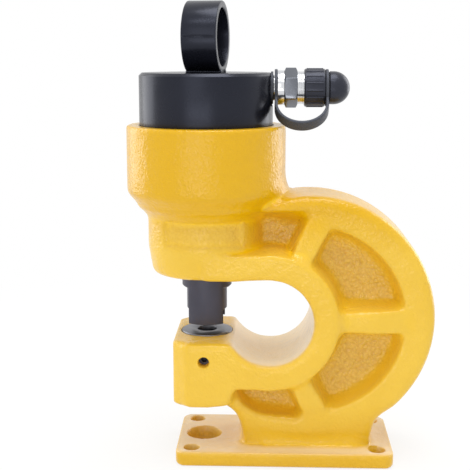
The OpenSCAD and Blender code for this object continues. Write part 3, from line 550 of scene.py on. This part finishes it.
def footSweep():  # fills the foot out between the rim's arc and the base plate
    bm = bmesh.new()
    rows = []
    steps = casting["footSteps"]
    first, last = casting["footArc"]
    for k in range(steps + 1):
        angle = math.radians(first + (last - first) * k / steps)
        high = (casting["rimX"] + casting["footR"] * math.cos(angle),
                casting["throatZ"] + casting["footR"] * math.sin(angle))
        low = (casting["footFrom"] + (casting["footTo"] - casting["footFrom"]) * k / steps,
               casting["footBase"])
        corners = ((high, -casting["footTopHalf"]), (high, casting["footTopHalf"]),
                   (low, casting["footHalf"]), (low, -casting["footHalf"]))
        rows.append([bm.verts.new((px, py, pz)) for (px, pz), py in corners])
    for near, far in zip(rows, rows[1:]):
        for k in range(len(near)):
            bm.faces.new((near[k], near[k - 1], far[k - 1], far[k]))
    bm.faces.new(rows[0])
    bm.faces.new(rows[-1])
    bmesh.ops.recalc_face_normals(bm, faces=bm.faces)
    bm.transform(at(0, 0, 0))
    return meshObject("tool", bm)


def jawBridge():  # fills the hub's lower edge out straight into the jaw
    bm = bmesh.new()
    bmesh.ops.create_cube(bm, size=1.0)
    low = casting["throatZ"] - casting["hubR"]
    width = casting["throatX"] - casting["bridgeFrom"]
    bm.transform(Matrix.Diagonal((width, 2 * casting["bridgeHalf"], casting["bridgeHigh"], 1)))
    bm.transform(at(casting["throatX"] - width / 2, 0, low + casting["bridgeHigh"] / 2))
    return meshObject("tool", bm)


def makeCasting():
    body = mergedCopy("frame", "casting")
    for other in ("frame_head", "frame_jaw", "frame_base"):
        combine(body, mergedCopy(other, "tool"), "UNION")
    combine(body, footSweep(), "UNION")
    combine(body, jawBridge(), "UNION")
    axis = at(punchX, 0, 0)
    screwAxis = at(punchX, 0, casting["screwZ"], towardsFront)
    slugAxis = at(punchX - casting["slugBack"], 0, 0)
    boltAxes = [at(sx * casting["boltX"], sy * casting["boltY"], 0) for sx in (-1, 1) for sy in (-1, 1)]
    # machined bores are filled first, so that only cast edges get soft
    plugs = [rod(*casting[name], axis) for name in ("cupPlug", "nosePlug", "diePlug")]
    plugs += [rod(*casting["screwPlug"], screwAxis), rod(*casting["slugPlug"], slugAxis)]
    plugs += [rod(*casting["boltPlug"], boltAxis) for boltAxis in boltAxes]
    for plug in plugs:
        combine(body, plug, "UNION")
    remesh = body.modifiers.new("skin", "REMESH")
    remesh.mode = "VOXEL"
    remesh.voxel_size = casting["voxel"] * mm
    keepResult(body)
    softenCasting(body.data)
    # then the bores are cut again
    cuts = [boreTool(casting["cup"], axis, casting["cupSides"])]
    cuts += [boreTool(casting[name], axis) for name in ("bush", "ram", "stripper", "die", "slug")]
    cuts.append(boreTool(casting["screw"], screwAxis, casting["screwSides"]))
    low, edge, top, over = casting["plateHeights"]
    for r, places in ((casting["slugR"], [slugAxis]), (casting["boltR"], boltAxes)):
        mouth = r + casting["plateChamfer"]
        wall = ((r, low), (r, edge), (mouth, top), (mouth, over))
        cuts += [boreTool(wall, place, casting["plateSides"]) for place in places]
    for cut in cuts:
        combine(body, cut, "DIFFERENCE")
    return body


def markCasting(mesh):  # how deep in a pocket each point is, and how much painted bounce light and painted glare it gets
    place, normal = placesOf(mesh), normalsOf(mesh)
    shift = relaxer(mesh, np.ones(len(place)))
    fromRim = np.hypot(place[:, 0] - casting["rimX"], place[:, 2] - casting["throatZ"])
    fromHub = np.hypot(place[:, 0] - casting["throatX"], place[:, 2] - casting["throatZ"])
    depth = np.clip((casting["webHalf"] - np.abs(place[:, 1])) / casting["pocketFade"] + 1, 0, 1)
    inside = (fromRim < casting["pocketR"]) & (fromHub > casting["hubR"])
    inside &= place[:, 2] > casting["pocketLow"]
    flat = np.clip(np.abs(normal[:, 1]) * casting["flatGain"] - casting["flatFrom"], 0, 1)
    pocket = np.where(inside, depth, 0) * flat
    pocket = np.maximum(pocket, casting["panelTone"] * panelShare(place))
    for turn in range(casting["pocketPasses"]):
        pocket = pocket + shift(pocket[:, None])[:, 0]
    relaxed = place
    for turn in range(casting["hollowPasses"]):
        relaxed = relaxed + shift(relaxed)
    # creases that get painted bounce light: how far a relaxed copy lies above the surface
    creaseBounce = np.clip(np.sum((relaxed - place) * normal, axis=1) / casting["hollowDepth"], 0, 1)
    # painted glare on the up-facing base top and on the throat's inside
    baseTop = (place[:, 2] < casting["baseTop"] + casting["baseOver"]) & (normal[:, 2] > casting["facesUp"])
    throat = fromHub < casting["throatR"] + casting["throatOver"]
    throat &= np.abs(normal[:, 1]) < casting["facesFront"]
    paintedGlare = casting["glareBase"] * baseTop + casting["glareThroat"] * throat
    for turn in range(casting["glarePasses"]):
        paintedGlare = paintedGlare + shift(paintedGlare[:, None])[:, 0]
    for name, values in (("pocket", pocket), ("creaseBounce", creaseBounce), ("paintedGlare", paintedGlare)):
        mesh.attributes.new(name, "FLOAT", "POINT").data.foreach_set("value", values.astype(np.float32))


body = makeCasting()
markCasting(body.data)
shade(body, finishes["yellow_enamel"], casting["sharpFrom"])
finishPiece(body, "frame", "yellow_enamel", "frame", "frame_head", "frame_jaw", "frame_base")


# Machined and moulded pieces: the CAD shape with its edges broken

softPieces = {  # node: body, slot, edge width in mm
    "cylinder_barrel": ("frame", "black_enamel", 0.7),
    "lifting_ring": ("frame", "black_enamel", 1.0),
    "stripper": ("frame", "blackened_steel", 0.5),
    "die": ("frame", "tool_steel", 0.4),
    "punch_nut": ("ram", "blackened_steel", 0.5),
    "coupler_body": ("frame", "coupler_chrome", 0.35),
    "tether_anchor": ("frame", "black_rubber", 0.6),
    "tether_cap_ring": ("cap_ring", "black_rubber", 0.6),
    "dust_cap": ("cap", "cap_plastic", 0.35),
}
brokenEdge = {"flatBelow": 0.6, "from": 32, "segments": 3}  # degrees between faces, and a count


def softCopy(nodeName, width):
    piece = mergedCopy(nodeName, nodeName + "Soft")
    bm = bmesh.new()
    bm.from_mesh(piece.data)
    flatBelow = math.radians(brokenEdge["flatBelow"])
    bmesh.ops.dissolve_limit(bm, angle_limit=flatBelow, verts=bm.verts, edges=bm.edges)
    bm.to_mesh(piece.data)
    bm.free()
    bevel = piece.modifiers.new("brokenEdge", "BEVEL")
    bevel.width = width * mm
    bevel.segments = brokenEdge["segments"]
    bevel.limit_method = "ANGLE"
    bevel.angle_limit = math.radians(brokenEdge["from"])
    bevel.use_clamp_overlap = True
    return keepResult(piece)


ringBand = {"yaw": -8.5, "outR": 31.0, "centreZ": 373.2, "width": 25.0, "seam": 1.8, "proud": 0.25}
ringTurn = Matrix.Rotation(math.radians(ringBand["yaw"]), 4, "Z")


def seamTool():  # a shallow V groove where the ends of the rolled band meet
    bm = bmesh.new()
    bmesh.ops.create_cube(bm, size=1.0)
    bm.transform(Matrix.Diagonal((ringBand["width"], ringBand["seam"], ringBand["seam"], 1)))
    bm.transform(Matrix.Rotation(math.radians(45), 4, "X"))
    bm.transform(Matrix.Translation((0, -ringBand["outR"] - ringBand["proud"], 0)))
    bm.transform(at(punchX, 0, ringBand["centreZ"], ringTurn))
    return meshObject("tool", bm)


for nodeName, (bodyName, slotName, width) in softPieces.items():
    piece = softCopy(nodeName, width)
    if nodeName == "lifting_ring":
        combine(piece, seamTool(), "DIFFERENCE")
    finishPiece(shade(piece, finishes[slotName]), bodyName, slotName, nodeName)


# Coil springs, weld beads and thread ridges, each from a node tree


def newTree(name, inputs):
    tree = bpy.data.node_groups.new(name, "GeometryNodeTree")
    tree.interface.new_socket("Geometry", in_out="OUTPUT", socket_type="NodeSocketGeometry")
    for label, kind in inputs.items():
        tree.interface.new_socket(label, in_out="INPUT", socket_type=kind)
    return tree, addNode(tree, "NodeGroupInput").outputs, tree.nodes.new("NodeGroupOutput")


def grow(name, tree, values, place):  # runs a tree on an empty mesh and keeps the result
    made = bpy.data.objects.new(name, bpy.data.meshes.new(name))
    scene.collection.objects.link(made)
    modifier = made.modifiers.new("grow", "NODES")
    modifier.node_group = tree
    for item in tree.interface.items_tree:
        if item.in_out == "INPUT" and item.name in values:
            modifier[item.identifier] = values[item.name]
    keepResult(made)
    bm = bmesh.new()
    bm.from_mesh(made.data)
    bmesh.ops.remove_doubles(bm, verts=bm.verts, dist=fineSpot)
    bm.transform(place)
    bm.to_mesh(made.data)
    bm.free()
    return made


def closeTree(tree, geometry, material, outputNode):
    real = addNode(tree, "GeometryNodeRealizeInstances", links={0: geometry})
    painted = addNode(tree, "GeometryNodeSetMaterial", values={"Material": material},
                      links={"Geometry": real.outputs[0]})
    tree.links.new(painted.outputs[0], outputNode.inputs[0])


def vector(tree, **axes):  # a vector from the sockets of its axes
    return addNode(tree, "ShaderNodeCombineXYZ", links=axes).outputs[0]


def circle(tree, radius, sides):
    made = addNode(tree, "GeometryNodeCurvePrimitiveCircle", values={"Resolution": sides},
                   links={"Radius": radius})
    return made.outputs[0]


wire = {"steps": 48, "sides": 14, "sharpFrom": 60}  # points in a turn and round the wire


def coilTree(material):  # a wire coil with one closed turn at each end
    labels = ("Coil radius", "Wire radius", "Open turns", "Open height", "Closed height")
    tree, given, out = newTree("wireCoil", dict.fromkeys(labels, "NodeSocketFloat"))
    closed = given["Closed height"]
    top = maths(tree, "ADD", given["Open height"], closed)
    angle = maths(tree, "MULTIPLY", given["Open turns"], -2 * math.pi)
    ring = circle(tree, given["Wire radius"], wire["sides"])
    join = tree.nodes.new("GeometryNodeJoinGeometry")
    runs = (({"Height": closed}, {}),
            ({"Height": given["Open height"], "Rotations": given["Open turns"]},
             {"Translation": vector(tree, Z=closed)}),
            ({"Height": closed}, {"Translation": vector(tree, Z=top), "Rotation": vector(tree, Z=angle)}))
    for shape, move in runs:
        ends = {"Start Radius": given["Coil radius"], "End Radius": given["Coil radius"]}
        curve = addNode(tree, "GeometryNodeCurveSpiral", links={**ends, **shape},
                        values={"Resolution": wire["steps"], "Rotations": 1.0})
        if move:
            curve = addNode(tree, "GeometryNodeTransform", links={"Geometry": curve.outputs[0], **move})
        tube = addNode(tree, "GeometryNodeCurveToMesh", values={"Fill Caps": True},
                       links={"Curve": curve.outputs[0], "Profile Curve": ring})
        tree.links.new(tube.outputs[0], join.inputs[0])
    closeTree(tree, join.outputs[0], material, out)
    return tree


coil = coilTree(finishes["spring_steel"])
returnSpring = {"Coil radius": 27.75 * mm, "Wire radius": 3.5 * mm, "Open turns": 3.5,
                "Open height": 41.4 * mm, "Closed height": 7.0 * mm, "from": 0.2348}
spring = grow("returnSpringWire", coil, returnSpring,
              Matrix.Translation((punchX * mm, 0, returnSpring["from"])))
shade(spring, finishes["spring_steel"], wire["sharpFrom"])
finishPiece(spring, "frame", "spring_steel", "return_spring")
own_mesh(spring)

low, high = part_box("poppet_spring")
poppetSpring = {"Wire radius": 0.6 * mm, "Open turns": 4.0, "Closed height": 1.2 * mm}
poppetSpring["Coil radius"] = (high.y - low.y) / 2 - poppetSpring["Wire radius"]
poppetSpring["Open height"] = (high.x - low.x - 2 * poppetSpring["Closed height"]
                               - 2 * poppetSpring["Wire radius"])
small = grow("poppetSpringWire", coil, poppetSpring,
             Matrix.Translation((low.x + poppetSpring["Wire radius"], 0, couplerZ * mm)) @ alongX)
shade(small, finishes["spring_steel"], wire["sharpFrom"])
finishPiece(small, "frame", "spring_steel", "poppet_spring")
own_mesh(small)

weld = {"Length": 28.0 * mm, "Count": 15, "Bead": 3.4 * mm, "rounds": 3, "scale": (0.62, 1.0, 0.8),
        "lean": (0, 0.35, 0), "seed": 5, "least": 0.86, "most": 1.08,
        "footZ": 343.0, "side": 8.6, "lift": 0.0008, "sharpFrom": 70}


def weldTree(material):  # overlapping ripples along a line
    tree, given, out = newTree("weldRipples", {
        "Length": "NodeSocketFloat", "Count": "NodeSocketInt", "Bead": "NodeSocketFloat"})
    start = vector(tree, X=maths(tree, "MULTIPLY", given["Length"], -0.5))
    end = vector(tree, X=maths(tree, "MULTIPLY", given["Length"], 0.5))
    line = addNode(tree, "GeometryNodeMeshLine", {"mode": "END_POINTS"}, links={
        "Count": given["Count"], "Start Location": start, "Offset": end})
    ripple = addNode(tree, "GeometryNodeMeshIcoSphere", values={"Subdivisions": weld["rounds"]},
                     links={"Radius": given["Bead"]})
    flat = addNode(tree, "GeometryNodeTransform", values={"Scale": weld["scale"], "Rotation": weld["lean"]},
                   links={"Geometry": ripple.outputs[0]})
    size = addNode(tree, "FunctionNodeRandomValue", {"data_type": "FLOAT"}, values={"Seed": weld["seed"]})
    for socket in size.inputs:
        if socket.enabled and socket.name in ("Min", "Max"):
            socket.default_value = weld["least"] if socket.name == "Min" else weld["most"]
    value = [s for s in size.outputs if s.enabled][0]
    beads = addNode(tree, "GeometryNodeInstanceOnPoints", links={
        "Points": line.outputs[0], "Instance": flat.outputs[0], "Scale": value})
    closeTree(tree, beads.outputs[0], material, out)
    return tree


ripples = weldTree(finishes["black_enamel"])
ringFoot = Matrix.Translation((punchX * mm, 0, weld["footZ"] * mm)) @ ringTurn
bm = bmesh.new()
for side in (-1, 1):
    aside = Matrix.Translation((0, side * weld["side"] * mm, weld["lift"]))
    made = grow("ringWeldSide", ripples, weld, ringFoot @ aside)
    bm.from_mesh(made.data)
    bpy.data.objects.remove(made)
bead = shade(meshObject("ringWeldBead", bm), finishes["black_enamel"], weld["sharpFrom"])
finishPiece(bead, "frame", "black_enamel", "ring_weld")

thread = {"Radius": 13.85 * mm, "Ridge": 0.34 * mm, "Pitch": 1.5 * mm, "Count": 9, "from": 10.6,
          "sides": 72, "ridgeSides": 8, "sharpFrom": 60}


def threadTree(material):  # round ridges set a pitch apart
    tree, given, out = newTree("threadRidges", {
        "Radius": "NodeSocketFloat", "Ridge": "NodeSocketFloat", "Pitch": "NodeSocketFloat",
        "Count": "NodeSocketInt"})
    loop = circle(tree, given["Radius"], thread["sides"])
    edge = circle(tree, given["Ridge"], thread["ridgeSides"])
    ridge = addNode(tree, "GeometryNodeCurveToMesh", links={"Curve": loop, "Profile Curve": edge})
    line = addNode(tree, "GeometryNodeMeshLine", {"mode": "OFFSET"}, links={
        "Count": given["Count"], "Offset": vector(tree, Z=given["Pitch"])})
    rows = addNode(tree, "GeometryNodeInstanceOnPoints", links={
        "Points": line.outputs[0], "Instance": ridge.outputs[0]})
    closeTree(tree, rows.outputs[0], material, out)
    return tree


ridges = grow("couplerThread", threadTree(finishes["coupler_chrome"]), thread,
              Matrix.Translation((thread["from"] * mm, 0, couplerZ * mm)) @ alongX)
shade(ridges, finishes["coupler_chrome"], thread["sharpFrom"])
finishPiece(ridges, "frame", "coupler_chrome")


# Tether strap

strap = {"bowX": 12.675, "bowAt": -21.52, "midR": 22.03, "thick": 2.6, "width": 11.0, "edge": 0.9,
         "startAt": -14.6, "swing": 45.0, "steps": 48, "cornerSteps": 4, "sharpFrom": 60}


def strapPath():  # along the coupler and down from its axis: a half circle with straight ends
    between = (strap["startAt"] + strap["bowAt"]) / 2
    path = [(-strap["midR"], strap["startAt"]), (-strap["midR"], between)]
    for k in range(strap["steps"] + 1):
        angle = math.pi + math.pi * k / strap["steps"]
        path.append((strap["midR"] * math.cos(angle), strap["bowAt"] + strap["midR"] * math.sin(angle)))
    return path + [(strap["midR"], between), (strap["midR"], strap["startAt"])]


def strapSection():  # rounded rectangle, across the strap and through its thickness
    section = []
    for cx, cy, first in ((1, 1, 0), (-1, 1, 90), (-1, -1, 180), (1, -1, 270)):
        for k in range(strap["cornerSteps"] + 1):
            a = math.radians(first + 90 / strap["cornerSteps"] * k)
            section.append((cx * (strap["width"] / 2 - strap["edge"]) + strap["edge"] * math.cos(a),
                            cy * (strap["thick"] / 2 - strap["edge"]) + strap["edge"] * math.sin(a)))
    return section


def makeStrap():
    path, section = strapPath(), strapSection()
    swing = math.radians(90 - strap["swing"])
    down = Vector((0, math.cos(swing), math.sin(swing)))
    across = Vector((0, -math.sin(swing), math.cos(swing)))
    centre = Vector((strap["bowX"], 0, couplerZ))
    bm = bmesh.new()
    rings = []
    for k, (u, v) in enumerate(path):
        u0, v0 = path[max(k - 1, 0)]
        u1, v1 = path[min(k + 1, len(path) - 1)]
        length = math.hypot(u1 - u0, v1 - v0)
        out = Vector(((v1 - v0) / length, -(u1 - u0) / length))
        ring = [centre + Vector((u + t * out.x, 0, 0)) + down * (v + t * out.y) + across * w
                for w, t in section]
        rings.append([bm.verts.new(point * mm) for point in ring])
    for low, high in zip(rings, rings[1:]):
        for k in range(len(section)):
            n = (k + 1) % len(section)
            bm.faces.new((low[k], low[n], high[n], high[k]))
    bm.faces.new(rings[0])
    bm.faces.new(rings[-1])
    bmesh.ops.recalc_face_normals(bm, faces=bm.faces)
    return meshObject("tetherStrap", bm)


tether = shade(makeStrap(), finishes["black_rubber"], strap["sharpFrom"])
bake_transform(tether)
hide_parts("tether_strap")
print("piece:", tether.name)


# Floor, light and camera, in metres

studio = {"floor": "#F4F4F2", "floorSize": 6.0, "floorZ": -0.0004, "floorRough": 0.9,
          "speckScale": 300.0, "speckDetail": 2.0, "speckBump": 0.02, "speckDepth": 1.0,
          "fadeFrom": 0.15, "fadeTo": 0.75, "nearWhite": 0.8, "world": 0.62}
lamps = {  # place, target, size, watts, share of gloss
    "topLamp": ((0.1, -0.15, 1.6), (0, 0, 0.2), (0.8, 0.8), 10.0, 1.0),
    "frontLamp": ((-0.5, -1.6, 0.75), (0, 0, 0.2), (0.9, 0.9), 2.3, 0.2),
    "lowLamp": ((-0.25, -1.3, 0.1), (-0.05, 0, 0.22), (1.0, 0.16), 1.6, 0.0),
    "edgeLamp": ((-0.1, -0.8, 1.35), (-0.02, 0, 0.2), (1.0, 0.14), 2.5, 1.0),
    "leftLamp": ((-1.25, 0.5, 0.55), (-0.05, 0, 0.25), (0.9, 1.3), 8.0, 1.0),
    "rightLamp": ((1.05, 0.8, 0.55), (0, 0, 0.25), (0.7, 1.3), 7.0, 1.0),
}


def addFloor():  # white where the camera sees it, a little less so near the part
    bm = bmesh.new()
    bmesh.ops.create_grid(bm, x_segments=2, y_segments=2, size=studio["floorSize"])
    bm.transform(Matrix.Translation((0, 0, studio["floorZ"])))
    floor = meshObject("floor", bm)
    material, tree, shader, place = newMaterial("paleFloor", studio["floorRough"])
    shader.inputs["Base Color"].default_value = srgb(studio["floor"])
    speck = noise(tree, place, studio["speckScale"], studio["speckDetail"])
    setBump(tree, shader, speck, studio["speckBump"], studio["speckDepth"])
    away = addNode(tree, "ShaderNodeVectorMath", {"operation": "LENGTH"}, links={0: place}).outputs["Value"]
    fade = mapRange(tree, away, studio["nearWhite"], 1.0, studio["fadeFrom"], studio["fadeTo"])
    share = maths(tree, "MULTIPLY", seenRays(tree), fade)
    white = addNode(tree, "ShaderNodeEmission", values={"Color": (1, 1, 1, 1), "Strength": 1.0})
    mix = addNode(tree, "ShaderNodeMixShader", links={0: share, 1: shader.outputs[0], 2: white.outputs[0]})
    tree.links.new(mix.outputs[0], tree.nodes["Material Output"].inputs["Surface"])
    floor.data.materials.append(material)


def addWorld():  # white where the camera sees it, dimmer as a light
    world = bpy.data.worlds.new("studio")
    world.use_nodes = True
    scene.world = world
    tree = world.node_tree
    level = mapRange(tree, seenRays(tree), studio["world"], 1.0)
    tree.links.new(level, tree.nodes["Background"].inputs["Strength"])
    tree.nodes["Background"].inputs["Color"].default_value = (1, 1, 1, 1)


def addLamp(name, place, target, size, energy, gloss):
    lamp = bpy.data.lights.new(name, "AREA")
    lamp.shape = "RECTANGLE"
    lamp.size, lamp.size_y = size
    lamp.energy = energy
    lamp.specular_factor = gloss
    made = bpy.data.objects.new(name, lamp)
    made.location = place
    made.rotation_euler = (Vector(target) - Vector(place)).to_track_quat("-Z", "Y").to_euler()
    scene.collection.objects.link(made)


addFloor()
addWorld()
for name, settings in lamps.items():
    addLamp(name, *settings)

view = {"place": (-0.01045, -0.88035, 0.35949), "pitch": 10.3, "yaw": -2.26, "lens": 76.6,
        "sensor": 36.0, "nearest": 0.01}
lens = bpy.data.cameras.new("camera")
lens.sensor_width = view["sensor"]
lens.lens = view["lens"]
lens.clip_start = view["nearest"]
camera = bpy.data.objects.new("camera", lens)
pitch, yaw = math.radians(view["pitch"]), math.radians(view["yaw"])
ahead = Vector((math.sin(yaw) * math.cos(pitch), math.cos(yaw) * math.cos(pitch), -math.sin(pitch)))
camera.location = view["place"]
camera.rotation_euler = ahead.to_track_quat("-Z", "Y").to_euler()
scene.collection.objects.link(camera)
scene.camera = camera
scene.view_settings.view_transform = "Standard"
print("studio ready")

bpy.context.view_layer.update()
